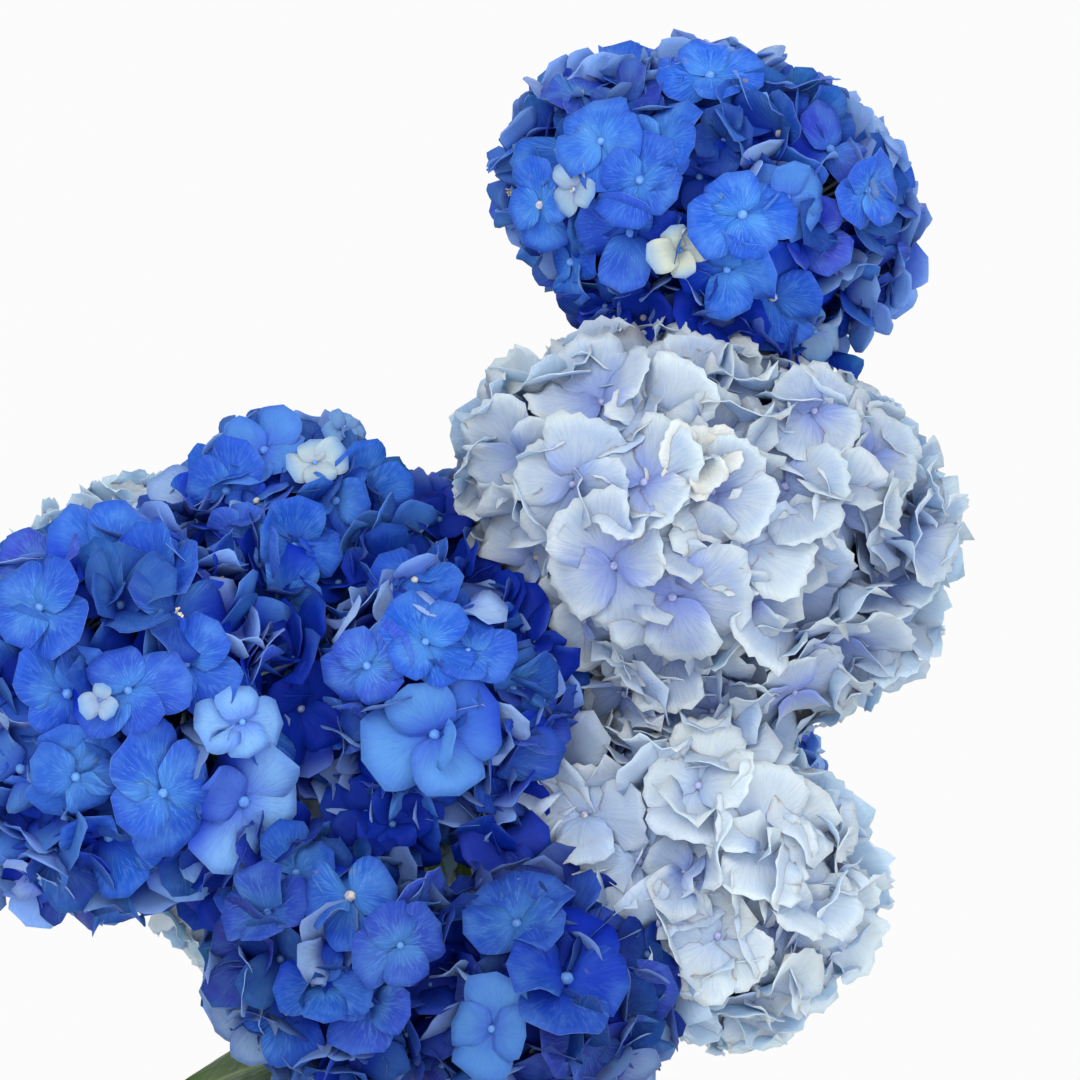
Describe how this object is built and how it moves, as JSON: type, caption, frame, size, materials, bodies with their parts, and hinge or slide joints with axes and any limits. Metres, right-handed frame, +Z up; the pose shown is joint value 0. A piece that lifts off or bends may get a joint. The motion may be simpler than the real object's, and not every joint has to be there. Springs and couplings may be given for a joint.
{
  "type": "hydrangeas in a vase",
  "caption": "Bouquet of deep blue and pale ice-blue mophead hydrangeas on cut leafy stems, standing in water in a plain white glazed vase.",
  "frame": {"origin": "centre of the vase's foot, on the surface it stands on", "axes": "+Z up, +X to the viewer's right, -Y towards the viewer"},
  "size_m": [0.4347, 0.3134, 0.6744],
  "materials": {
    "glazed_vase": "white glaze",
    "water": "clear water",
    "petals_blue": "matte petals, royal blue with paler veins",
    "petals_pale": "matte petals, ice blue with whiter fringed edges",
    "stem_green": "satin green stem and leaf"
  },
  "bodies": {
    "root": {"vase": "glazed_vase", "water": "water", "head_blue_top": "petals_blue", "stem_blue_top": "stem_green", "head_pale_large": "petals_pale", "stem_pale_large": "stem_green", "head_pale_low": "petals_pale", "stem_pale_low": "stem_green", "head_blue_upper_left": "petals_blue", "stem_blue_upper_left": "stem_green", "head_blue_left": "petals_blue", "stem_blue_left": "stem_green", "head_blue_middle": "petals_blue", "stem_blue_middle": "stem_green", "head_blue_low_left": "petals_blue", "stem_blue_low_left": "stem_green", "head_blue_low_right": "petals_blue", "stem_blue_low_right": "stem_green", "head_pale_back_left": "petals_pale", "stem_pale_back_left": "stem_green", "head_blue_back_middle": "petals_blue", "stem_blue_back_middle": "stem_green", "head_blue_back_right": "petals_blue", "stem_blue_back_right": "stem_green", "head_pale_back_low": "petals_pale", "stem_pale_back_low": "stem_green"}
  },
  "joints": []
}
